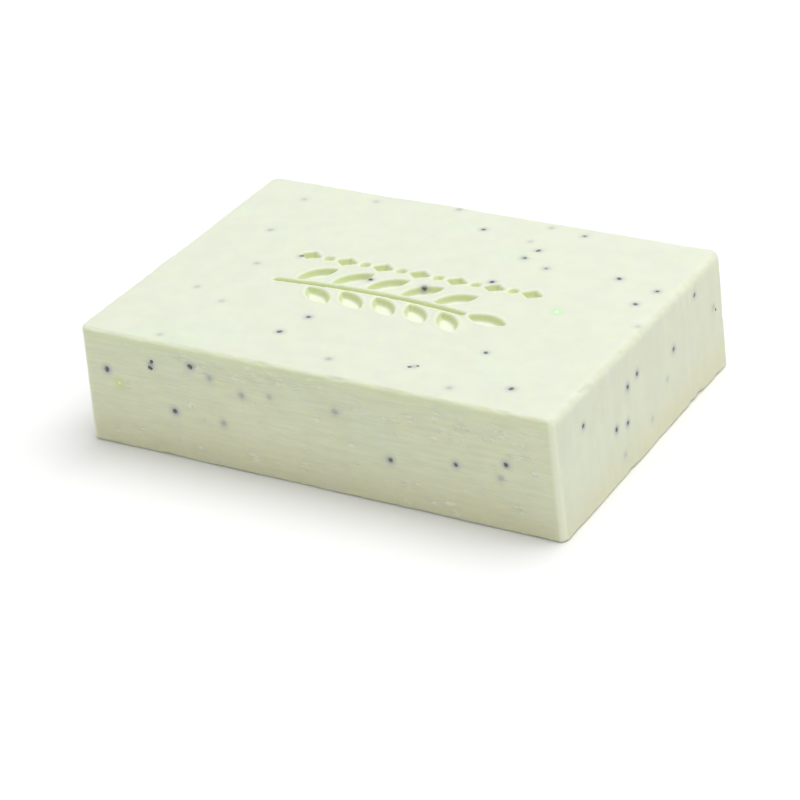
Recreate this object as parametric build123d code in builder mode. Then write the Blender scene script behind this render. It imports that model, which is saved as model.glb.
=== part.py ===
"""A hand-cut bar of soap: one solid block with a shallow impressed ornament on top.

Millimetres, +Z up. The origin is on the table under the middle of the block, the
length runs along X, the width along Y, and the cut front face looks along -Y.
"""

import math
import os

from build123d import *

# The block, which rests on its largest face and is longest along the foot of its back
bar_length = 91.8
bar_width = 66.8
bar_height = 21.7

# How far the hand-cut ends stray from square: the front is shorter than the back at both
# ends, and the right end leans in towards its top
left_skew = 1.3
right_skew = 0.4
right_lean = 1.7
trim_allowance = 5.0

# Edges, rounded by trimming and handling
upright_edge_radius = 1.6
top_edge_radius = 1.0
foot_edge_radius = 0.7

# The impressed ornament: a leafy sprig with a row of lozenges and beads behind it
impression_depth = 1.2
wall_draft = 18.0
lip_radius = 0.25

# Sprig: a shallow arched stem, leaves along both of its sides and one at its tip
stem_rise = 1.4
stem_width = 1.3
leaf_length = 7.6
leaf_width = 3.5
leaf_tip_radius = 0.35
leaf_spread = 42.0
leaf_gap = 0.6
leaf_clearance = 0.9
leaves_a_side = 5
sprig_y = -5.2

# Border row behind the sprig: lozenges with a round bead in each space between them
border_clearance = 1.2
lozenge_count = 7
lozenge_length = 4.4
lozenge_width = 3.4
lozenge_corner_radius = 0.35
bead_diameter = 2.0
bead_depth = 0.8
bead_gap = 0.4

# Leaves of one side stand this far apart along the stem, and the two sides alternate
leaf_spacing = (leaf_width + leaf_clearance) / math.sin(math.radians(leaf_spread))
leaf_offset = stem_width / 2 + leaf_gap
stem_length = (leaves_a_side + 0.5) * leaf_spacing
sprig_start_x = -(stem_length + leaf_offset + leaf_length) / 2

# The border row clears the tips of the leaves below it
leaf_reach = leaf_offset + leaf_length * math.sin(math.radians(leaf_spread))
border_y = sprig_y + stem_rise + leaf_reach + border_clearance + lozenge_width / 2
border_pitch = lozenge_length + bead_diameter + 2 * bead_gap
border_start_x = -border_pitch * (lozenge_count - 1) / 2


def side_cut(foot_start, foot_end, lean=0.0):
    """The plane of one side, facing into the block: it holds a foot edge, and leans in by lean at the top."""
    along = (Vector(*foot_end) - Vector(*foot_start)).normalized()
    inward = Vector(-along.Y, along.X)
    up_the_face = inward * lean + Vector(0, 0, bar_height)
    return Plane(origin=foot_start, x_dir=along, z_dir=up_the_face.cross(along))


def stem_point(distance):
    """The point of the arched stem that lies this far along its chord, and its slope in degrees."""
    arch_radius = (stem_length**2 / 4 + stem_rise**2) / (2 * stem_rise)
    from_middle = distance - stem_length / 2
    drop = arch_radius - math.sqrt(arch_radius**2 - from_middle**2)
    slope = -math.degrees(math.asin(from_middle / arch_radius))
    return (sprig_start_x + distance, sprig_y + stem_rise - drop), slope


# One leaf, lying along +X from its stalk end
with BuildSketch() as leaf:
    with BuildLine():
        ThreePointArc((0, 0), (leaf_length / 2, leaf_width / 2), (leaf_length, 0))
        ThreePointArc((leaf_length, 0), (leaf_length / 2, -leaf_width / 2), (0, 0))
    make_face()
    fillet(leaf.vertices(), leaf_tip_radius)

# One lozenge, centred
with BuildSketch() as lozenge:
    half_length = lozenge_length / 2
    half_width = lozenge_width / 2
    with BuildLine():
        Polyline((half_length, 0), (0, half_width), (-half_length, 0), (0, -half_width), close=True)
    make_face()
    fillet(lozenge.vertices(), lozenge_corner_radius)

top_face = Plane.XY.offset(bar_height)

with BuildLine() as stem_line:
    start, _ = stem_point(0)
    middle, _ = stem_point(stem_length / 2)
    end, _ = stem_point(stem_length)
    ThreePointArc(start, middle, end)

leaf_places = []
for index in range(leaves_a_side):
    for side, lead in ((1, 0.5), (-1, 1.0)):
        (x, y), slope = stem_point((index + lead) * leaf_spacing)
        outward = math.radians(slope + side * 90)
        stalk = (x + leaf_offset * math.cos(outward), y + leaf_offset * math.sin(outward), 0)
        leaf_places.append(Location(stalk, (0, 0, slope + side * leaf_spread)))
(tip_x, tip_y), tip_slope = stem_point(stem_length)
leaf_places.append(Location((tip_x + leaf_offset, tip_y, 0), (0, 0, tip_slope)))

lozenge_places = [(border_start_x + border_pitch * index, border_y) for index in range(lozenge_count)]
bead_places = [(x + border_pitch / 2, y) for x, y in lozenge_places[:-1]]
bead_radius = (bead_diameter**2 / 4 + bead_depth**2) / (2 * bead_depth)

with BuildPart() as soap_bar:
    # A rough block, trimmed by one straight cut a side
    with BuildSketch():
        Rectangle(bar_length + trim_allowance, bar_width + trim_allowance)
    extrude(amount=bar_height)
    front_left = (left_skew - bar_length / 2, -bar_width / 2)
    front_right = (bar_length / 2 - right_skew, -bar_width / 2)
    back_right = (bar_length / 2, bar_width / 2)
    back_left = (-bar_length / 2, bar_width / 2)
    split(bisect_by=side_cut(front_left, front_right), keep=Keep.TOP)
    split(bisect_by=side_cut(front_right, back_right, right_lean), keep=Keep.TOP)
    split(bisect_by=side_cut(back_right, back_left), keep=Keep.TOP)
    split(bisect_by=side_cut(back_left, front_left), keep=Keep.TOP)

    upright_edges = soap_bar.edges().filter_by(lambda edge: abs(edge.tangent_at(0.5).Z) > 0.9)
    fillet(upright_edges, upright_edge_radius)
    fillet(soap_bar.faces().sort_by(Axis.Z)[-1].edges(), top_edge_radius)
    fillet(soap_bar.faces().sort_by(Axis.Z)[0].edges(), foot_edge_radius)

    with BuildSketch(top_face) as ornament:
        SlotArc(stem_line.edge(), stem_width)
        with Locations(*leaf_places):
            add(leaf.sketch)
        with Locations(*lozenge_places):
            add(lozenge.sketch)
    extrude(amount=-impression_depth, taper=wall_draft, mode=Mode.SUBTRACT)

    with Locations(*[(x, y, bar_height + bead_radius - bead_depth) for x, y in bead_places]):
        Sphere(bead_radius, mode=Mode.SUBTRACT)

    ornament_lips = soap_bar.faces().sort_by(Axis.Z)[-1].inner_wires()
    fillet([edge for lip in ornament_lips for edge in lip.edges()], lip_radius)

soap_bar.part.label = "soap_bar"
os.makedirs("parts", exist_ok=True)
export_step(soap_bar.part, "parts/soap_bar.step")
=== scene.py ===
"""A hand-cut bar of poppy-seed soap, lying on a plain pale floor. Metres, +Z up."""

import bpy
import numpy as np
from mathutils import Matrix, Vector


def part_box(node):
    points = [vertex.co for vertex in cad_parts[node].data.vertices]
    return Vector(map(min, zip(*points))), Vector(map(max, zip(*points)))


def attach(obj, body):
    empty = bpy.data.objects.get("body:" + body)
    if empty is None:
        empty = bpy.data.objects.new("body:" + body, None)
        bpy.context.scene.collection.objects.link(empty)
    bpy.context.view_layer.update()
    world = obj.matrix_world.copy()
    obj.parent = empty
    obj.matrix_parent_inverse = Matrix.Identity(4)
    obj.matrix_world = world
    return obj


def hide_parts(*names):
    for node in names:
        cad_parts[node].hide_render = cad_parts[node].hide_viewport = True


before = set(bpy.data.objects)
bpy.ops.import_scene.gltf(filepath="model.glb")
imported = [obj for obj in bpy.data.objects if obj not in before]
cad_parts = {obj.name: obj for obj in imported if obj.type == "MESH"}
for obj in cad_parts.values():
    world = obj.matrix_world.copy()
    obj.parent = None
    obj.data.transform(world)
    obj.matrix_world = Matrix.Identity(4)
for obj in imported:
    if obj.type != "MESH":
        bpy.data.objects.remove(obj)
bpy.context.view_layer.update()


# ---------------------------------------------------------------------------
# The bar: one block of cold-process soap, poured as a slab, cut to size by hand with a wire and
# stamped. Its edges are rubbed soft, its cut front is dragged and torn, and a generic sprig under
# a row of lozenges and beads is pressed about a millimetre into its top.
# ---------------------------------------------------------------------------

MM = 0.001

bar_low, bar_high = (np.array(corner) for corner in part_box("soap_bar"))
half_length, half_width = (bar_high - bar_low)[:2] / 2
bar_height = bar_high[2]

# How far the hand-cut ends stray from square, how steeply that fades away from them, and the
# rounded edges
left_skew = 1.3 * MM
right_skew = 0.4 * MM
right_lean = 1.7 * MM
end_fade = 4
upright_radius = 1.6 * MM
top_radius = 0.8 * MM
right_top_radius = 1.4 * MM
foot_radius = 0.6 * MM

# The impressed ornament: its depth and walls, the lip round it, the sprig, and the row above it
press_depth = 1.2 * MM
wall_run = 0.72 * MM
wall_start = 0.12 * MM
dish_softness = 0.12 * MM
lip_swell = 0.07 * MM
lip_place = 0.42 * MM
lip_spread = 0.3 * MM
stem_rise = 1.4 * MM
stem_width = 1.3 * MM
leaf_length = 7.6 * MM
leaf_width = 3.5 * MM
leaf_tip_radius = 0.35 * MM
leaf_spread = np.radians(42.0)
leaf_gap = 0.6 * MM
leaf_clearance = 0.9 * MM
leaves_a_side = 5
sprig_y = -5.2 * MM
border_clearance = 1.2 * MM
lozenge_count = 7
lozenge_length = 4.4 * MM
lozenge_width = 3.4 * MM
lozenge_corner_radius = 0.35 * MM
bead_diameter = 2.0 * MM
bead_depth = 0.8 * MM
bead_gap = 0.4 * MM

leaf_spacing = (leaf_width + leaf_clearance) / np.sin(leaf_spread)
leaf_offset = stem_width / 2 + leaf_gap
stem_length = (leaves_a_side + 0.5) * leaf_spacing
sprig_start = -(stem_length + leaf_offset + leaf_length) / 2
arch_radius = (stem_length**2 / 4 + stem_rise**2) / (2 * stem_rise)
arch_centre = np.array([sprig_start + stem_length / 2, sprig_y + stem_rise - arch_radius])
leaf_reach = leaf_offset + leaf_length * np.sin(leaf_spread)
border_y = sprig_y + stem_rise + leaf_reach + border_clearance + lozenge_width / 2
border_pitch = lozenge_length + bead_diameter + 2 * bead_gap

# The pressed field is a fine grid, and the rest of the skin is a profile carried round it. Grid
# points near these two lines of a wall, from its edge, are moved onto them: within this share of
# a step, along the slope found over this distance
field_half = np.array([25.2, 11.2]) * MM
field_centre = np.array([0.0, -1.5]) * MM
field_steps = (252, 96)
wall_top_line = 0.10 * MM
wall_foot_line = -0.52 * MM
snap_share = 0.42
slope_step = 0.02 * MM

# Rows of the skin across the top, round its edge, down the sides and round the foot, how they
# crowd towards the top's edge, how points crowd on the corners, and the rows under the bar, which
# shrink to a little less than the pressed field
top_rows, edge_rows, side_rows, foot_rows = 29, 7, 62, 5
top_crowding = 0.9
corner_crowding = 3.0
under_shares = 0.35, 0.7, 1.0
under_size = 0.9


def stem_place(distance):
    """The stem's point this far along its chord and its slope there: an arc of arch_radius."""
    across = distance - stem_length / 2
    slope = -np.arcsin(across / arch_radius)
    return arch_centre + np.array([across, np.sqrt(arch_radius**2 - across**2)]), slope


def leaf_distance(x, y, place, angle):
    """Signed distance to a leaf, negative inside. A leaf is where two equal discs overlap, with
    its stalk end at place and its length turned by angle, drawn in by the tip radius and swelled
    back, which rounds its two points."""
    long, wide = leaf_length / 2 - leaf_tip_radius, leaf_width / 2 - leaf_tip_radius
    along = (x - place[0]) * np.cos(angle) + (y - place[1]) * np.sin(angle) - leaf_length / 2
    across = np.abs((y - place[1]) * np.cos(angle) - (x - place[0]) * np.sin(angle))
    disc = (long**2 + wide**2) / (2 * wide)
    to_side = np.hypot(along, across + disc - wide) - disc
    to_tip = np.hypot(np.abs(along) - long, across)
    beyond = across * long < (np.abs(along) - long) * (disc - wide)
    return np.where(beyond, to_tip, to_side) - leaf_tip_radius


def stem_distance(x, y):
    """Signed distance to the stem: how far a point is from the arc, less half the stem's width,
    and past the arc's ends how far it is from the nearer end."""
    start, _ = stem_place(0)
    end, _ = stem_place(stem_length)
    from_arc = np.abs(np.hypot(x - arch_centre[0], y - arch_centre[1]) - arch_radius)
    from_start = np.hypot(x - start[0], y - start[1])
    from_end = np.hypot(x - end[0], y - end[1])
    nearest = np.where(x < start[0], from_start, np.where(x > end[0], from_end, from_arc))
    return nearest - stem_width / 2


def lozenge_distance(x, y, centre_x):
    """Signed distance to a lozenge with rounded corners, by folding the plane into one quarter,
    where the lozenge is a straight slanting side."""
    px, py = np.abs(x - centre_x), np.abs(y - border_y)
    lean = np.arctan2(lozenge_width, lozenge_length)
    half_long = lozenge_length / 2 - lozenge_corner_radius / np.sin(lean)
    half_wide = lozenge_width / 2 - lozenge_corner_radius / np.cos(lean)
    share = ((px - half_long) * -half_long + py * half_wide) / (half_long**2 + half_wide**2)
    share = np.clip(share, 0, 1)
    gap = np.hypot(px - half_long * (1 - share), py - half_wide * share)
    inside = px * half_wide + py * half_long < half_long * half_wide
    return np.where(inside, -gap, gap) - lozenge_corner_radius


def sprig_distance(x, y):
    """Signed distance to the nearest outline of the stem, the leaves and the lozenges."""
    nearest = stem_distance(x, y)
    for index in range(leaves_a_side):
        for side, lead in ((1, 0.5), (-1, 1.0)):
            place, slope = stem_place((index + lead) * leaf_spacing)
            outward = slope + side * np.pi / 2
            stalk = place + leaf_offset * np.array([np.cos(outward), np.sin(outward)])
            nearest = np.minimum(nearest, leaf_distance(x, y, stalk, slope + side * leaf_spread))
    tip, slope = stem_place(stem_length)
    nearest = np.minimum(nearest, leaf_distance(x, y, tip + (leaf_offset, 0), slope))
    for index in range(lozenge_count):
        centre_x = border_pitch * (index - (lozenge_count - 1) / 2)
        nearest = np.minimum(nearest, lozenge_distance(x, y, centre_x))
    return nearest


def bead_distance(x, y):
    """Distance from the middle of the nearest bead, which stands half-way between lozenges."""
    places = border_pitch * (np.arange(lozenge_count - 1) - (lozenge_count - 2) / 2)
    nearest = np.abs(x[..., None] - places).min(axis=-1)
    return np.hypot(nearest, y - border_y)


def smooth_step(value):
    """0 below 0 and 1 above 1, with a smooth S between."""
    value = np.clip(value, 0, 1)
    return value * value * (3 - 2 * value)


def pressed_depth(x, y):
    """How deep the stamp went: an S from the lip down the drafted wall to the flat floor, round
    dishes for the beads, and a slight swelling of the soap just outside each lip."""
    edge = sprig_distance(x, y)
    depth = press_depth * smooth_step((wall_start - edge) / wall_run)
    bead = bead_distance(x, y)
    ball = (bead_diameter**2 / 4 + bead_depth**2) / (2 * bead_depth)
    dish = np.sqrt(np.maximum(ball**2 - bead**2, 0)) - (ball - bead_depth)
    softened = dish_softness * np.logaddexp(0, dish / dish_softness)
    depth = depth + softened * (bead < bead_diameter)
    outside = np.minimum(edge, bead - bead_diameter / 2) - lip_place
    return depth - lip_swell * np.exp(-((outside / lip_spread) ** 2))


def snap_to_outline(x, y, spacing):
    """Move each grid point that is near the top or foot of a stamped wall onto that line, along
    the distance's slope, so that walls run smoothly across the grid."""
    for line in (wall_top_line, wall_foot_line):
        gap = sprig_distance(x, y) - line
        rise_x = sprig_distance(x + slope_step, y) - sprig_distance(x - slope_step, y)
        rise_y = sprig_distance(x, y + slope_step) - sprig_distance(x, y - slope_step)
        slope_x, slope_y = rise_x / (2 * slope_step), rise_y / (2 * slope_step)
        near = np.abs(gap) < snap_share * spacing
        x, y = x - np.where(near, gap * slope_x, 0), y - np.where(near, gap * slope_y, 0)
    return x, y


# Relief is a sum of this many waves, from this much longer to this much shorter than asked
wave_count = 28
wave_range = 0.6, 1.5


def waves(points, lengths, draw):
    """Smooth random relief of about unit height: a sum of plane waves with random directions and
    phases, about this long along X, Y and Z, in millimetres."""
    random = np.random.RandomState(draw)
    directions = random.normal(size=(wave_count, 3))
    directions /= np.linalg.norm(directions, axis=1, keepdims=True)
    directions *= random.uniform(*wave_range, size=(wave_count, 1))
    turns = points / MM @ (2 * np.pi * directions / np.array(lengths)).T
    phases = random.uniform(0, 2 * np.pi, wave_count)
    return np.sin(turns + phases).sum(axis=1) * np.sqrt(2 / wave_count)


def outline(count, radius):
    """The bar's plan: a rectangle with round corners, started in the middle of the front and run
    anticlockwise. Each point is a place on the inner frame of corner centres plus radius times
    its outward direction, and points crowd together on the corners."""
    straight = np.array([half_length, half_width]) - radius
    corner_angle = np.pi / 2
    lengths = np.array([straight[0], radius * corner_angle, 2 * straight[1], radius * corner_angle,
                        2 * straight[0], radius * corner_angle, 2 * straight[1],
                        radius * corner_angle, straight[0]])
    crowding = np.where(np.arange(lengths.size) % 2, corner_crowding, 1.0)
    ends = np.concatenate([[0], np.cumsum(lengths * crowding)])
    at = np.arange(count) / count * ends[-1]
    piece = np.searchsorted(ends, at, side="right") - 1
    share = (at - ends[piece]) / (ends[piece + 1] - ends[piece])
    turned = (piece // 2 + np.where(piece % 2, share, 0)) * corner_angle - corner_angle
    corners = np.array([[0, -1], [1, -1], [1, -1], [1, 1], [1, 1], [-1, 1], [-1, 1], [-1, -1],
                        [-1, -1], [0, -1]])
    from_corner, to_corner = corners[piece], corners[piece + 1]
    inner = (from_corner + (to_corner - from_corner) * share[:, None]) * straight
    return inner, np.stack([np.cos(turned), np.sin(turned)], axis=1)


def bar_skin():
    """The whole skin as points, smooth outward directions and faces. The pressed field is a grid.
    The rest is one profile carried round it: across the top to the edge, round the edge, down the
    side, round the foot and in under the bar."""
    columns, rows = field_steps
    xs = field_centre[0] + np.linspace(-field_half[0], field_half[0], columns + 1)
    ys = field_centre[1] + np.linspace(-field_half[1], field_half[1], rows + 1)
    x, y = np.meshgrid(xs, ys)
    x, y = snap_to_outline(x, y, xs[1] - xs[0])
    field = np.stack([x, y, np.full_like(x, bar_height)], axis=-1).reshape(-1, 3)
    number = np.arange(field.shape[0]).reshape(rows + 1, columns + 1)
    lower_left = number[:-1, :-1].ravel()
    field_faces = lower_left[:, None] + np.array([0, 1, columns + 2, columns + 1])

    rim = np.concatenate([number[0, columns // 2:-1], number[:-1, -1], number[-1, :0:-1],
                          number[:0:-1, 0], number[0, :columns // 2]])
    inner, outward = outline(rim.size, upright_radius)
    rim_xy = field[rim, :2]

    def ring(xy, z, side_share, up_share):
        """One row of the skin at height z, and its outward direction: so much out, so much up."""
        points = np.column_stack([xy, np.zeros(rim.size) + z])
        facing = np.column_stack([outward * side_share, np.full(rim.size, up_share)])
        return points, facing

    rings = []
    rightward = np.clip(outward[:, 0], 0, 1) ** 2
    top_round = top_radius + (right_top_radius - top_radius) * rightward[:, None]
    top_edge = inner + outward * (upright_radius - top_round)
    for share in np.linspace(0, 1, top_rows + 1)[1:] ** top_crowding:
        rings.append(ring(rim_xy + (top_edge - rim_xy) * share, bar_height, 0.0, 1.0))
    for angle in np.linspace(0, np.pi / 2, edge_rows + 1)[1:]:
        reach = upright_radius - top_round * (1 - np.sin(angle))
        height = bar_height - top_round[:, 0] * (1 - np.cos(angle))
        rings.append(ring(inner + outward * reach, height, np.sin(angle), np.cos(angle)))
    for share in np.linspace(0, 1, side_rows + 1)[1:]:
        height = foot_radius + (bar_height - top_round[:, 0] - foot_radius) * (1 - share)
        rings.append(ring(inner + outward * upright_radius, height, 1.0, 0.0))
    for angle in np.linspace(0, np.pi / 2, foot_rows + 1)[1:]:
        reach = upright_radius - foot_radius + foot_radius * np.cos(angle)
        height = foot_radius - foot_radius * np.sin(angle)
        rings.append(ring(inner + outward * reach, height, np.cos(angle), -np.sin(angle)))
    foot_edge = inner + outward * (upright_radius - foot_radius)
    for share in under_shares:
        under_xy = foot_edge + (rim_xy * under_size - foot_edge) * share
        rings.append(ring(under_xy, 0.0, 0.0, -1.0))

    points = np.concatenate([field] + [found for found, _ in rings])
    up = np.tile([0.0, 0.0, 1.0], (len(field), 1))
    facing = np.concatenate([up] + [found for _, found in rings])
    later = len(field) + np.arange(len(rings) * rim.size).reshape(len(rings), rim.size)
    table = np.concatenate([rim[None, :], later])
    here, below = table[:-1], table[1:]
    quads = np.stack([here, below, np.roll(below, -1, 1), np.roll(here, -1, 1)], axis=-1)
    under = table[-1][::-1]
    return points, facing, np.concatenate([field_faces, quads.reshape(-1, 4)]), under


def off_square(points):
    """Draw the two ends in towards the front, and the right one towards its top. The shift is a
    power of how near a place is to that end, so it fades to nothing in the middle of the bar."""
    x, y, z = points.T
    forward = (1 - y / half_width) / 2
    left = left_skew * forward * np.clip(-x / half_length, 0, 1) ** end_fade
    right = right_skew * forward + right_lean * z / bar_height
    return np.column_stack([x + left - right * np.clip(x / half_length, 0, 1) ** end_fade, y, z])


# Height of each kind of relief, its waves' lengths along X, Y and Z in millimetres, and the draw
# they come from: gentle unevenness, fine ripples, long and short drag lines of the cut, and
# upright ones on the ends
unevenness = 0.045 * MM, (22, 22, 22), 3
ripple = 0.012 * MM, (4, 4, 4), 4
long_drag = 0.014 * MM, (24, 24, 2.2), 5
short_drag = 0.012 * MM, (6, 6, 1.1), 6
end_drag = 0.010 * MM, (60, 2.6, 40), 7

# Worn edges: uneven rounding from coarse and fine waves, and nicks where a third set crests. Each
# set has its lengths and its draw
edge_wear = 0.07 * MM
wear_waves = (9, 9, 9), 8
fine_wear_waves = (2, 2, 2), 9
fine_wear_share = 0.6
nick_waves = (3, 3, 3), 10
nick_starts, nick_full = 1.3, 2.2
top_nick = 0.12 * MM
foot_nick = 0.38 * MM

# Knocks on the right end's edges: place, size and depth, in millimetres
knocks = [(45.9, 33.4, 9.8, 0.9, 0.45), (45.9, 20.4, 0, 1.0, 0.5), (45.9, 17.2, 0, 0.8, 0.4),
          (45.9, -8, 0, 0.8, 0.4), (45.9, 28, 0, 0.7, 0.35), (45.9, -20, 21.7, 1.1, 0.15)]

# Scuffs, in millimetres. Each cluster is a middle along X, a middle height, a spread each way and
# a count: near the front's top edge left of the middle and at the right, and along its foot. Then
# come the ones that are strewn over both cut faces, their sizes, and their lips
scuff_clusters = [(-16, 18.4, 9, 1.8, 44), (-2, 19.4, 6, 1.0, 18), (12, 17.5, 8, 2.0, 14),
                  (31, 16.6, 9, 2.6, 36), (2, 4.4, 9, 1.0, 10), (28, 3.8, 12, 1.0, 7),
                  (-30, 3.4, 10, 1.0, 5)]
stray_scuffs = 90
stray_low, stray_high = (-44, -1, 1), (44, 1, 21)
scuff_lengths = 0.3, 1.3
scuff_widths = 0.42, 0.70
scuff_depths = 0.02, 0.09
scuff_tilt = 0.22
scuff_waver = 0.16
scuff_waver_waves = (2, 2, 2), 11
scuff_draw = 21
lip_share, lip_rise, lip_width = 0.8, 1.1, 0.7
torn_width = 1.3


def scuffs(points, facing):
    """Where the wire tore the cut front and back: shallow scoops, long and low, each with a raised
    lip along its top. Both are bells along and across the scuff, wavering a little. Returns their
    relief, and how torn the soap is about each place, up to 1 in the deepest scuff."""
    random = np.random.RandomState(scuff_draw)
    centres = []
    for middle_x, middle_z, spread_x, spread_z, count in scuff_clusters:
        along = middle_x + spread_x * random.uniform(-1, 1, count)
        up = middle_z + spread_z * random.uniform(-1, 1, count)
        centres.append(np.stack([along, np.full(count, -1.0), up], axis=1))
    strays = random.uniform(stray_low, stray_high, (stray_scuffs, 3))
    strays[:, 1] = np.sign(strays[:, 1])
    centres = np.concatenate(centres + [strays])
    long = random.uniform(*scuff_lengths, len(centres))
    low = random.uniform(*scuff_widths, len(centres))
    deep = random.uniform(*scuff_depths, len(centres))
    tilt = random.uniform(-scuff_tilt, scuff_tilt, len(centres))
    across = points / MM
    across[:, 2] += scuff_waver * waves(points, *scuff_waver_waves)
    relief, torn = np.zeros(len(points)), np.zeros(len(points))
    for side in (-1, 1):
        here = np.flatnonzero(facing[:, 1] * side > 0.5)
        mine = centres[:, 1] == side
        along = across[here, 0, None] - centres[mine, 0]
        up = (across[here, 2, None] - centres[mine, 2] - tilt[mine] * along) / low[mine]
        ends = np.exp(-((along / long[mine]) ** 2))
        lip = ends * np.exp(-(((up - lip_rise) / lip_width) ** 2))
        relief[here] = (deep[mine] * (lip_share * lip - ends * np.exp(-(up**2)))).sum(axis=1) * MM
        about = ends * np.exp(-((up / torn_width) ** 2))
        torn[here] = (about * deep[mine]).max(axis=1) / scuff_depths[1]
    return relief, torn


def worked(points, facing):
    """Carry places on the plain block to the finished bar. They move along their outward
    direction by the sum of the relief, the scuffs, the edge wear, the nicks and the knocks. Then
    the ends are drawn off square, and the stamp's depth is taken off the top. Also returns how
    deep the stamp went and how torn each place is."""
    upward, downward = np.clip(facing[:, 2], 0, 1) ** 2, np.clip(-facing[:, 2], 0, 1) ** 2
    cut, end = facing[:, 1] ** 2, facing[:, 0] ** 2
    relief, torn = scuffs(points, facing)
    kinds = [(unevenness, 1 - downward), (ripple, 1 - downward), (long_drag, cut),
             (short_drag, cut), (end_drag, end)]
    for (height, lengths, draw), share in kinds:
        relief += height * waves(points, lengths, draw) * share

    # Wear and nicks are full where an edge faces half-way between two faces, and none on the faces
    level = upward + downward
    on_edge = 4 * level * (1 - level)
    wear = waves(points, *wear_waves) + fine_wear_share * waves(points, *fine_wear_waves)
    relief -= edge_wear * on_edge * np.abs(wear)
    nicks = smooth_step((waves(points, *nick_waves) - nick_starts) / (nick_full - nick_starts))
    relief -= nicks * on_edge * np.where(facing[:, 2] < 0, foot_nick, top_nick)
    for x, y, z, size, dent in knocks:
        gap = np.linalg.norm(points / MM - (x, y, z), axis=1)
        relief -= dent * MM * np.exp(-((gap / size) ** 2))

    outward = facing / np.linalg.norm(facing, axis=1, keepdims=True)
    depth = np.where(facing[:, 2] == 1, pressed_depth(points[:, 0], points[:, 1]), 0.0)
    moved = off_square(points) + outward * relief[:, None]
    moved[:, 2] = np.maximum(moved[:, 2] - depth, 0.0)
    return moved, depth, torn


block, facing, quads, under = bar_skin()
points, depth, torn = worked(block, facing)

bar_mesh = bpy.data.meshes.new("soap_bar_skin")
bar_mesh.from_pydata(points.tolist(), [], quads.tolist() + [under.tolist()])
bar_mesh.polygons.foreach_set("use_smooth", np.ones(len(bar_mesh.polygons), bool))
bar = bpy.data.objects.new("soap_bar_skin", bar_mesh)
bpy.context.collection.objects.link(bar)

# Seeds that the cuts laid open, in millimetres across each face, and how plainly each shows:
# about 1 where one is sliced through, down to 0.3 where it is only a shadow in the soap
top_seeds = [(-35, 26, 0.35), (-22, 30, 0.35), (-6, 32, 0.5), (2, 26, 0.8), (13, 31, 0.4),
             (20, 30, 0.6), (15, 21.5, 0.8), (14, 18, 0.85), (12, 24.5, 0.3), (19.4, 15.5, 0.6),
             (33.1, 16.4, 0.8), (41.8, 14.3, 0.8), (40.2, 8.6, 0.7), (44.1, 1, 0.54),
             (44.9, 1.4, 0.54), (13, 7.5, 1.0), (3, 1.5, 0.9), (-7, 0.5, 0.85), (-23, 4.5, 0.8),
             (-34, 12, 0.5), (-29, -1, 0.45), (-9.7, -16, 0.85), (-11.6, -22.4, 1.0),
             (-34, -13, 0.4), (-27, -16, 0.35), (-30, -31, 0.35), (1, -28, 0.55),
             (14.6, -25.4, 0.65), (15.7, -24.7, 0.6), (24, -16.5, 0.6), (24, -29.5, 0.45),
             (33.7, -26.1, 1.0)]
front_seeds = [(-40.5, 14.4, 1.0), (-30.6, 17.6, 1.0), (-31, 16.4, 1.0), (-22.7, 18.3, 0.95),
               (-19, 16.8, 0.45), (-13, 14.8, 0.55), (-7.6, 15.6, 0.35), (-26.8, 9, 1.0),
               (-17.1, 8.7, 0.5), (4.7, 15.4, 0.5), (14.5, 8.6, 0.9), (26.6, 10.4, 0.7),
               (35.9, 12.2, 0.75), (34.7, 9.6, 0.35)]
right_seeds = [(21.4, 18.5, 0.7), (29.3, 12.3, 0.6), (27.9, 13.7, 0.4), (11.4, 13, 0.8),
               (-3.1, 15.4, 0.8), (-6.9, 14.8, 0.9), (-8.1, 8.8, 0.9), (-12.2, 9.7, 1.0),
               (-23.5, 16, 0.7), (8, 9, 0.3), (-10, 4, 0.3), (1, 5, 0.3)]
plainness_mix = 0.35, 0.5, 0.7, 0.85, 1.0
X, Y, Z = 0, 1, 2


def strewn(count, across, up, draw):
    """Seeds for a face, at random, with about the same mix of plain ones and shadows."""
    random = np.random.RandomState(draw)
    spots = [random.uniform(*across, count), random.uniform(*up, count)]
    return np.stack(spots + [random.choice(plainness_mix, count)], axis=1)


def on_face(spots, axis, side):
    """Where spots lie on one face of the plain block, whose outward direction is axis times side,
    and that direction at each."""
    half = np.array([half_length, half_width, bar_height / 2])
    across = np.array(spots, dtype=float)[:, :2] * MM
    places = np.insert(across, axis, half[axis] * side, axis=1)
    if axis == Z:
        places[:, Z] += bar_height / 2
    outward = np.zeros_like(places)
    outward[:, axis] = side
    return places, outward


back_seeds = strewn(12, (-43, 43), (2, 19), 31)
left_seeds = strewn(9, (-31, 31), (2, 19), 36)
under_seeds = strewn(26, (-42, 42), (-30, 30), 33)
seed_faces = [(top_seeds, Z, 1), (front_seeds, Y, -1), (right_seeds, X, 1),
              (back_seeds, Y, 1), (left_seeds, X, -1), (under_seeds, Z, -1)]
laid = [on_face(*face) for face in seed_faces]
seed_outward = np.concatenate([outward for _, outward in laid])
seed_points, _, _ = worked(np.concatenate([places for places, _ in laid]), seed_outward)
plainness = np.concatenate([np.array(seeds, dtype=float)[:, 2] for seeds, _, _ in seed_faces])

# Two flecks of green colour: one on the top beside the stamp, and one in the front's left
flecks = [on_face([(28.4, 1.2)], Z, 1), on_face([(-38.1, 12.2)], Y, -1)]
fleck_points, _, _ = worked(*(np.concatenate(parts) for parts in zip(*flecks)))

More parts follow.
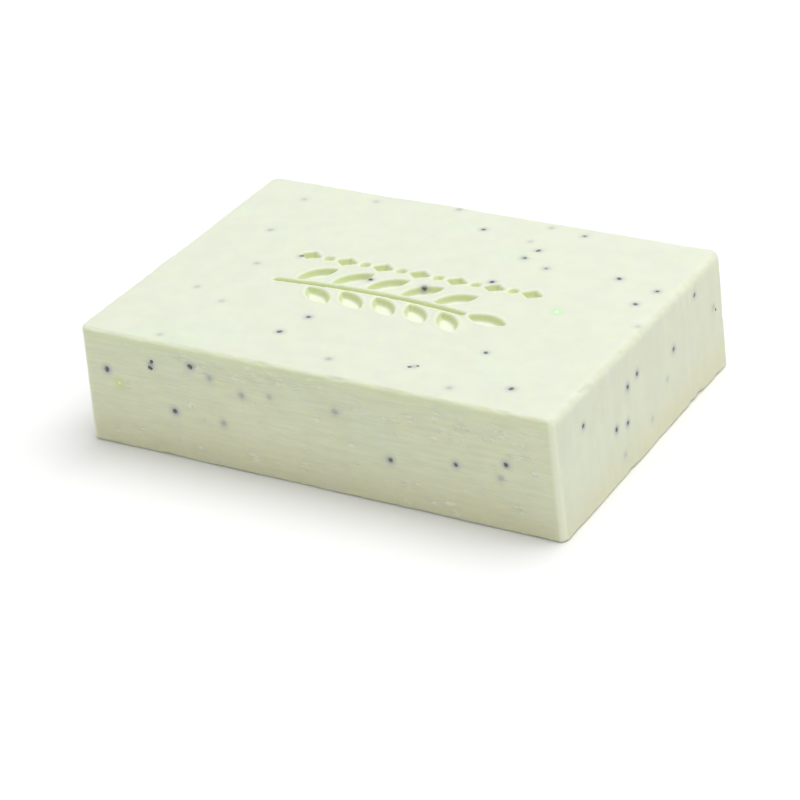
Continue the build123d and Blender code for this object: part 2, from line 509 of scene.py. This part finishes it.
# Seeds that lie side by side share one weaker stain, in their middle
twin_gap = 2 * MM
twin_stain = 0.6
beside = np.linalg.norm(seed_points[:, None] - seed_points, axis=2) < twin_gap
company = beside.sum(axis=1)
stains, first = np.unique(beside @ seed_points / company[:, None], axis=0, return_index=True)
stain_strength = plainness[first] * np.where(company[first] > 1, twin_stain, 1.0)

# How far round a stain its offset is kept, how much nearer it must be than the next one, and the
# offset that stands for far away, which stays long wherever it blends into a kept one
stain_reach = 3 * MM
stain_margin = 0.9 * MM
far_offset = 9.0


def offset_from_nearest(points, centres):
    """Each point's offset from its nearest centre, in millimetres, and which centre that is. An
    offset is linear, so it is exact all across a face. Out of reach it is the far offset."""
    gaps = np.linalg.norm(points[:, None] - centres, axis=2)
    nearest = gaps.argmin(axis=1)
    ordered = np.sort(gaps, axis=1)
    near = (ordered[:, 0] < stain_reach) & (ordered[:, 1] - ordered[:, 0] > stain_margin)
    offset = (points - centres[nearest]) / MM
    return np.where(near[:, None], offset, far_offset), nearest


def add_attribute(mesh, name, kind, values):
    """Give every vertex a value: kind is FLOAT or FLOAT_VECTOR."""
    layer = mesh.attributes.new(name, kind, "POINT")
    field = "vector" if kind == "FLOAT_VECTOR" else "value"
    layer.data.foreach_set(field, np.asarray(values, dtype=np.float32).ravel())


from_seed, nearest_stain = offset_from_nearest(points, stains)
from_fleck, _ = offset_from_nearest(points, fleck_points)
add_attribute(bar_mesh, "impression", "FLOAT", np.clip(depth / press_depth, 0, 1))
add_attribute(bar_mesh, "facing", "FLOAT_VECTOR", facing)
add_attribute(bar_mesh, "torn", "FLOAT", torn)
add_attribute(bar_mesh, "from_seed", "FLOAT_VECTOR", from_seed)
add_attribute(bar_mesh, "seed_stain", "FLOAT", stain_strength[nearest_stain])
add_attribute(bar_mesh, "from_fleck", "FLOAT_VECTOR", from_fleck)


def node(tree, kind, inputs=None, **settings):
    """Add a shader node with these settings. Each input is linked to a socket or set to a value."""
    made = tree.nodes.new("ShaderNode" + kind)
    for name, value in settings.items():
        setattr(made, name, value)
    for name, value in (inputs or {}).items():
        if isinstance(value, bpy.types.NodeSocket):
            tree.links.new(value, made.inputs[name])
        else:
            made.inputs[name].default_value = value
    return made


def times(tree, first, second):
    """The product of two sockets or numbers."""
    return node(tree, "Math", {0: first, 1: second}, operation="MULTIPLY").outputs[0]


def plus(tree, first, second):
    """The sum of two sockets or numbers."""
    return node(tree, "Math", {0: first, 1: second}, operation="ADD").outputs[0]


def ramp(tree, value, low, high, bottom=0.0, top=1.0):
    """A smooth S from bottom, where value is low, to top, where it is high."""
    inputs = {"Value": value, "From Min": low, "From Max": high, "To Min": bottom, "To Max": top}
    return node(tree, "MapRange", inputs, interpolation_type="SMOOTHSTEP").outputs["Result"]


# Where the Mix node has its two colours
colour_a, colour_b = 6, 7


def mixed(tree, share, first, second):
    """Two colours mixed: none of the second at a share of 0, and only that at 1."""
    inputs = {0: share}
    for slot, value in ((colour_a, first), (colour_b, second)):
        inputs[slot] = (*value, 1) if isinstance(value, tuple) else value
    return node(tree, "Mix", inputs, data_type="RGBA").outputs[2]


def shaded(tree, colour, brightness):
    """A colour with each of its parts multiplied by brightness."""
    scaled = node(tree, "VectorMath", {0: colour, "Scale": brightness}, operation="SCALE")
    return scaled.outputs[0]


def noise(tree, place, lumps, detail=2.0, roughness=0.5):
    """Noise from 0 to 1, about 0.5, whose lumps are this long along X, Y and Z in millimetres."""
    per_metre = tuple(1 / (length * MM) for length in lumps)
    spread = node(tree, "Mapping", {"Vector": place, "Scale": per_metre}).outputs["Vector"]
    inputs = {"Vector": spread, "Scale": 1.0, "Detail": detail, "Roughness": roughness}
    return node(tree, "TexNoise", inputs).outputs["Fac"]


def held(tree, name, output="Fac"):
    """The value that a piece's vertices hold under this name."""
    return node(tree, "Attribute", attribute_name=name).outputs[output]


def length_of(tree, offset):
    """How long an offset is."""
    return node(tree, "VectorMath", {0: offset}, operation="LENGTH").outputs["Value"]


soap = bpy.data.materials.new("poppy_seed_soap")
soap.use_nodes = True
tree = soap.node_tree
shader = tree.nodes["Principled BSDF"]
place = node(tree, "TexCoord").outputs["Object"]
height = node(tree, "SeparateXYZ", {0: place}).outputs["Z"]
towards = node(tree, "SeparateXYZ", {0: held(tree, "facing", "Vector")}).outputs
is_end, is_cut, is_level = (times(tree, part, part) for part in towards)
is_top = times(tree, is_level, ramp(tree, towards["Z"], 0.0, 0.1))

# The bare soap: palest on the planed top, yellower where it is cut, greener in soft patches
cut_green = (0.775, 0.803, 0.592)
end_green = (0.725, 0.755, 0.595)
top_green = (0.735, 0.768, 0.637)
patch_green = (0.690, 0.790, 0.640)
colour = mixed(tree, is_end, cut_green, end_green)
colour = mixed(tree, is_top, colour, top_green)
patch_lumps, patch_strength = (16, 16, 16), 0.40
cloud_lumps, cloud_swing = (3.8, 3.8, 3.8), 0.015
patches = ramp(tree, noise(tree, place, patch_lumps), 0.46, 0.76, 0.0, patch_strength)
colour = mixed(tree, patches, colour, patch_green)
clouds = ramp(tree, noise(tree, place, cloud_lumps), 0.3, 0.7, 1 - cloud_swing, 1 + cloud_swing)
colour = shaded(tree, colour, clouds)

# Drag lines of the cut along the front and back, and fainter upright ones on the ends
drag_lumps, drag_dark, drag_pale = (8.3, 8.3, 0.67), -0.040, 0.036
comb_lumps, comb_dark, comb_pale = (33, 2.4, 17), -0.013, 0.013
drag = noise(tree, place, drag_lumps, detail=4.0, roughness=0.65)
comb = noise(tree, place, comb_lumps, detail=3.0, roughness=0.6)
drag_shade = times(tree, ramp(tree, drag, 0.32, 0.68, drag_dark, drag_pale), is_cut)
comb_shade = times(tree, ramp(tree, comb, 0.32, 0.68, comb_dark, comb_pale), is_end)
colour = shaded(tree, colour, plus(tree, plus(tree, drag_shade, comb_shade), 1.0))

# A painted glow of light through the rim, yellow-green under the top edge of the cut faces, and
# painted warm bounce light and shade, straw-coloured, at the foot of all four sides
painted_rim_glow = (0.745, 0.825, 0.535)
rim_glow_depth, rim_glow_strength = 4 * MM, 0.38
painted_foot_bounce = (0.705, 0.680, 0.460)
bounce_height, bounce_strength = 11 * MM, 0.55
# Painted glow: the cut faces turn yellow-green towards their top edge, as light shines through the
# rim
rim = ramp(tree, height, bar_height - rim_glow_depth, bar_height, 0.0, rim_glow_strength)
colour = mixed(tree, times(tree, rim, is_cut), colour, painted_rim_glow)
# Painted warm bounce light and shade: all four sides turn straw-coloured and darker towards their
# foot
painted_bounce = ramp(tree, height, bounce_height, 0.0, 0.0, bounce_strength)
colour = mixed(tree, times(tree, painted_bounce, plus(tree, is_cut, is_end)), colour, painted_foot_bounce)

# A painted highlight along the edges, and dry, pale soap in crumbs and in the flakes that stand off
# where it is torn
pale_soap_and_painted_light = (0.850, 0.880, 0.715)
upright_highlight, long_edge_highlight = 0.85, 0.45
crumb_lumps, crumb_patch_lumps, crumb_strength = (2.4, 2.4, 0.77), (13, 13, 6.3), 0.6
flake_lumps, flake_strength, stray_flakes = (2.0, 2.0, 0.5), 0.85, 0.11
# Painted highlight on the upright edges and along the top and foot edges of the cut faces
painted_upright_highlight = ramp(tree, times(tree, is_end, is_cut), 0.0, 0.18, 0.0, upright_highlight)
painted_long_edge_highlight = ramp(tree, times(tree, is_level, is_cut), 0.04, 0.25, 0.0, long_edge_highlight)
colour = mixed(tree, painted_upright_highlight, colour, pale_soap_and_painted_light)
colour = mixed(tree, painted_long_edge_highlight, colour, pale_soap_and_painted_light)
crumbs = ramp(tree, noise(tree, place, crumb_lumps, detail=3.0, roughness=0.6), 0.62, 0.72)
crumb_patches = ramp(tree, noise(tree, place, crumb_patch_lumps), 0.46, 0.62, 0.0, crumb_strength)
colour = mixed(tree, times(tree, times(tree, crumbs, crumb_patches), is_cut), colour, pale_soap_and_painted_light)
flakes = ramp(tree, noise(tree, place, flake_lumps, detail=4.0, roughness=0.6), 0.46, 0.57)
torn_share = ramp(tree, held(tree, "torn"), 0.1, 0.5, stray_flakes, 1.0)
flakes = times(tree, flakes, times(tree, torn_share, is_cut))
colour = mixed(tree, times(tree, flakes, flake_strength), colour, pale_soap_and_painted_light)

# The stamp's floor is painted paler, painted light against the shade in the recess, and its thin
# walls carry a painted yellow-green shade
painted_wall_shade = (0.620, 0.720, 0.280)
floor_light_strength, wall_shade_strength = 0.55, 0.6
pressed = held(tree, "impression")
unpressed = node(tree, "Math", {0: 1.0, 1: pressed}, operation="SUBTRACT").outputs[0]
wall_shade_share = ramp(tree, times(tree, pressed, unpressed), 0.02, 0.24, 0.0, wall_shade_strength)
# Painted light on the stamp's floor, then painted shade on its walls
colour = mixed(tree, times(tree, pressed, floor_light_strength), colour, pale_soap_and_painted_light)
colour = mixed(tree, wall_shade_share, colour, painted_wall_shade)

# Seeds stain the soap round them grey, with a wide pale halo and a darker core, and the flecks are
# green or lime with a pale heart. Each fades from an inner to an outer radius in millimetres
halo_grey, halo_inner, halo_outer, halo_strength = (0.520, 0.545, 0.530), 0.2, 1.7, 0.75
core_grey, core_inner, core_outer, core_strength = (0.270, 0.275, 0.250), 0.1, 0.85, 0.8
seed_gap = length_of(tree, held(tree, "from_seed", "Vector"))
stain = held(tree, "seed_stain")
halo = times(tree, ramp(tree, seed_gap, halo_outer, halo_inner, 0.0, halo_strength), stain)
core = times(tree, ramp(tree, seed_gap, core_outer, core_inner, 0.0, core_strength), stain)
colour = mixed(tree, halo, colour, halo_grey)
colour = mixed(tree, core, colour, core_grey)
fleck_green = (0.480, 0.830, 0.420)
fleck_lime = (0.640, 0.760, 0.280)
fleck_heart = (0.880, 0.930, 0.800)
fleck_inner, fleck_outer, fleck_strength = 0.2, 1.9, 0.6
heart_inner, heart_outer = 0.2, 0.42
fleck_gap = length_of(tree, held(tree, "from_fleck", "Vector"))
fleck = mixed(tree, is_top, fleck_lime, fleck_green)
fleck_share = ramp(tree, fleck_gap, fleck_outer, fleck_inner, 0.0, fleck_strength)
colour = mixed(tree, fleck_share, colour, fleck)
colour = mixed(tree, ramp(tree, fleck_gap, heart_outer, heart_inner), colour, fleck_heart)

# Here and there a burst bubble left a pit under a millimetre wide: bubbles per metre, a pit's
# outer and inner radius in bubble spacings, the share that stays whole, and the pit's tint
bubbles_per_metre = 150.0
pit_outer, pit_inner = 0.075, 0.025
whole_share, pit_strength = 0.68, 0.35
bubble = node(tree, "TexVoronoi", {"Vector": place, "Scale": bubbles_per_metre})
chance = node(tree, "SeparateColor", {0: bubble.outputs["Color"]}).outputs[0]
burst = ramp(tree, chance, whole_share, whole_share + 0.02)
pit = times(tree, ramp(tree, bubble.outputs["Distance"], pit_outer, pit_inner), burst)
colour = mixed(tree, times(tree, pit, pit_strength), colour, patch_green)

# Satin on the planed top and duller where it is cut, with the lines, a fine grain and the pits
grain_lumps = (0.38, 0.38, 0.38)
cut_roughness, top_roughness, grain_roughness = 0.62, 0.45, 0.08
grain_rise, flake_rise, pit_rise = 0.25, 2.2, -1.6
mark_height, mark_strength = 0.05 * MM, 0.8
grain = noise(tree, place, grain_lumps)
satin = ramp(tree, is_top, 0.2, 0.9, cut_roughness, top_roughness)
satin = plus(tree, satin, times(tree, grain, grain_roughness))
marks = plus(tree, times(tree, drag, is_cut), times(tree, comb, is_end))
for mark, rise in ((grain, grain_rise), (flakes, flake_rise), (pit, pit_rise)):
    marks = plus(tree, marks, times(tree, mark, rise))
bump_inputs = {"Height": marks, "Distance": mark_height, "Strength": mark_strength}
bump = node(tree, "Bump", bump_inputs).outputs[0]

# Light sinks less than a millimetre into the soap and scatters there, red furthest and blue least
tree.links.new(colour, shader.inputs["Base Color"])
tree.links.new(satin, shader.inputs["Roughness"])
tree.links.new(bump, shader.inputs["Normal"])
shader.inputs["IOR"].default_value = 1.46
shader.inputs["Subsurface Weight"].default_value = 1.0
shader.inputs["Subsurface Radius"].default_value = (1.0, 0.9, 0.45)
shader.inputs["Subsurface Scale"].default_value = 0.7 * MM
bar_mesh.materials.append(soap)

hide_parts("soap_bar")
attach(bar, "root")


# ---------------------------------------------------------------------------
# Poppy seeds: an ingredient of the soap, about a millimetre long, slate grey and kidney-shaped.
# The wire slices those that lie in the surface, so each stands hardly proud of it.
# ---------------------------------------------------------------------------

seed_half_sizes = np.array([0.52, 0.38, 0.36]) * MM
seed_size_range = 0.85, 1.1
seed_bend = 0.22
seed_columns, seed_rows = 9, 6
seed_size_draw, seed_turn_draw = 41, 42

# How high a sliced seed stands and how much of the rest is sliced off, the plainness below which
# a seed is only a stain, how deep the others sink for lack of it, and how pale their husks turn
seed_proud = 0.04 * MM
slicing = 0.9
least_plain = 0.55
sink_scale = 0.45 * MM
unsunk_plainness = 1.1
tone_spread, tone_fade = 0.5, 1.2


def kidney():
    """A closed kidney as unit points and faces: circles of latitude from pole to pole along X,
    bent so that the middle of its length moves to one side."""
    latitude = np.linspace(-np.pi / 2, np.pi / 2, seed_rows + 1)[1:-1]
    longitude = np.arange(seed_columns) * 2 * np.pi / seed_columns
    x = np.repeat(np.sin(latitude), seed_columns)
    y = np.outer(np.cos(latitude), np.cos(longitude)).ravel()
    z = np.outer(np.cos(latitude), np.sin(longitude)).ravel()
    ball = np.concatenate([np.stack([x, y, z], axis=1), [[-1, 0, 0], [1, 0, 0]]])
    ball[:, 1] += seed_bend * (1 - 2 * ball[:, 0] ** 2)
    number = np.arange(x.size).reshape(seed_rows - 1, seed_columns)
    turned = np.roll(number, -1, axis=1)
    bands = np.stack([number[:-1], turned[:-1], turned[1:], number[1:]], axis=-1).reshape(-1, 4)
    first, last = np.full(seed_columns, x.size), np.full(seed_columns, x.size + 1)
    caps = np.concatenate([np.stack([number[0], first, turned[0]], axis=1),
                           np.stack([number[-1], turned[-1], last], axis=1)])
    return ball, bands, caps


def random_turns(count, draw):
    """Random turns, one matrix each, from evenly spread unit quaternions."""
    quaternions = np.random.RandomState(draw).normal(size=(4, count))
    w, x, y, z = quaternions / np.linalg.norm(quaternions, axis=0)
    rows = [1 - 2 * (y * y + z * z), 2 * (x * y - z * w), 2 * (x * z + y * w),
            2 * (x * y + z * w), 1 - 2 * (x * x + z * z), 2 * (y * z - x * w),
            2 * (x * z - y * w), 2 * (y * z + x * w), 1 - 2 * (x * x + y * y)]
    return np.stack(rows, axis=1).reshape(-1, 3, 3)


# A plain seed lies high in the soap and a faint one low. What would stand proud is sliced nearly
# flush, and no seed reaches below the surface that the bar lies on.
shown = plainness > least_plain
count = shown.sum()
random = np.random.RandomState(seed_size_draw)
ball, bands, caps = kidney()
sizes = random.uniform(*seed_size_range, (count, 1, 1)) * seed_half_sizes
outward = seed_outward[shown][:, None]
sink = sink_scale * (unsunk_plainness - plainness[shown])[:, None, None]
turned = random_turns(count, seed_turn_draw)
grains = np.einsum("sij,svj->svi", turned, ball * sizes) - outward * sink
rise = (grains * outward).sum(axis=2, keepdims=True)
grains = grains - outward * slicing * np.maximum(rise - seed_proud, 0) + seed_points[shown][:, None]
grains[:, :, 2] = np.maximum(grains[:, :, 2], 0.0)
shift = (np.arange(count) * len(ball))[:, None, None]
grain_faces = (bands + shift).reshape(-1, 4).tolist() + (caps + shift).reshape(-1, 3).tolist()

seed_mesh = bpy.data.meshes.new("poppy_seeds")
seed_mesh.from_pydata(grains.reshape(-1, 3).tolist(), [], grain_faces)
seed_mesh.polygons.foreach_set("use_smooth", np.ones(len(seed_mesh.polygons), bool))
tone = random.uniform(0, tone_spread, count) + tone_fade * (1 - plainness[shown])
add_attribute(seed_mesh, "tone", "FLOAT", np.repeat(tone, len(ball)))
seeds = bpy.data.objects.new("poppy_seeds", seed_mesh)
bpy.context.collection.objects.link(seeds)

# The husk: slate with a pale bloom in spots, and a fine net of pits
husk = bpy.data.materials.new("poppy_husk")
husk.use_nodes = True
tree = husk.node_tree
shader = tree.nodes["Principled BSDF"]
place = node(tree, "TexCoord").outputs["Object"]
slate = (0.082, 0.084, 0.080)
bloom = (0.210, 0.220, 0.220)
spot_lumps, spot_strength = (0.33, 0.33, 0.33), 0.45
pits_per_metre, pit_depth, pit_sharpness = 7000.0, 0.03 * MM, 0.6
spots = ramp(tree, noise(tree, place, spot_lumps), 0.4, 0.7, 0.0, spot_strength)
bloom_share = node(tree, "Math", {0: held(tree, "tone"), 1: spots}, operation="ADD", use_clamp=True)
net = {"Vector": place, "Scale": pits_per_metre}
dimples = node(tree, "TexVoronoi", net, feature="DISTANCE_TO_EDGE").outputs["Distance"]
pits = {"Height": dimples, "Distance": pit_depth, "Strength": pit_sharpness}
tree.links.new(mixed(tree, bloom_share.outputs[0], slate, bloom), shader.inputs["Base Color"])
tree.links.new(node(tree, "Bump", pits).outputs[0], shader.inputs["Normal"])
shader.inputs["Roughness"].default_value = 0.55
seed_mesh.materials.append(husk)

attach(seeds, "root")


# ---------------------------------------------------------------------------
# The setting: a plain pale floor in a pale room. The light is soft, from one broad source
# overhead and a faint one at the right, and the camera looks down on the bar's front and right.
# ---------------------------------------------------------------------------

floor_mesh = bpy.data.meshes.new("pale_floor")
reach = 6.0
corners = [(-reach, -reach, 0), (reach, -reach, 0), (reach, reach, 0), (-reach, reach, 0)]
floor_mesh.from_pydata(corners, [], [(0, 1, 2, 3)])
floor = bpy.data.objects.new("pale_floor", floor_mesh)
bpy.context.collection.objects.link(floor)
floor_finish = bpy.data.materials.new("floor_white")
floor_finish.use_nodes = True
floor_shader = floor_finish.node_tree.nodes["Principled BSDF"]
floor_shader.inputs["Base Color"].default_value = (0.93, 0.93, 0.93, 1)
floor_shader.inputs["Roughness"].default_value = 0.9
floor_shader.inputs["Specular IOR Level"].default_value = 0.1
floor_mesh.materials.append(floor_finish)

world = bpy.data.worlds.new("pale_room")
world.use_nodes = True
world.node_tree.nodes["Background"].inputs["Color"].default_value = (1.0, 1.0, 1.0, 1)
world.node_tree.nodes["Background"].inputs["Strength"].default_value = 0.5
bpy.context.scene.world = world


def softbox(name, place, aim, size, power):
    """A square area lamp at place, facing aim."""
    lamp = bpy.data.lights.new(name, "AREA")
    lamp.size = size
    lamp.energy = power
    holder = bpy.data.objects.new(name, lamp)
    holder.location = place
    holder.rotation_euler = (Vector(aim) - Vector(place)).to_track_quat("-Z", "Y").to_euler()
    bpy.context.collection.objects.link(holder)


softbox("overhead", (0.15, 0.25, 1.0), (0, 0, 0), 0.9, 9.0)
softbox("right_fill", (1.1, 0.3, 0.5), (0, 0, 0.01), 0.6, 0.11)

# The camera: from the front and right, above the bar, with a slight roll
view_azimuth = np.radians(30.10)
view_elevation = np.radians(28.2)
view_roll = np.radians(-3.75)
view_distance = 0.4352
view_aim = Vector((8.5 * MM, -18.75 * MM, 11.0 * MM))
towards_camera = Vector((np.sin(view_azimuth) * np.cos(view_elevation),
                         -np.cos(view_azimuth) * np.cos(view_elevation),
                         np.sin(view_elevation)))
camera = bpy.data.cameras.new("camera")
camera.lens = 118.17
camera.sensor_width = 36.0
camera.clip_start = 0.01
camera_holder = bpy.data.objects.new("camera", camera)
camera_holder.matrix_world = (
    Matrix.Translation(view_aim + towards_camera * view_distance)
    @ towards_camera.to_track_quat("Z", "Y").to_matrix().to_4x4()
    @ Matrix.Rotation(view_roll, 4, "Z")
)
bpy.context.collection.objects.link(camera_holder)
bpy.context.scene.camera = camera_holder
bpy.context.scene.view_settings.view_transform = "Standard"
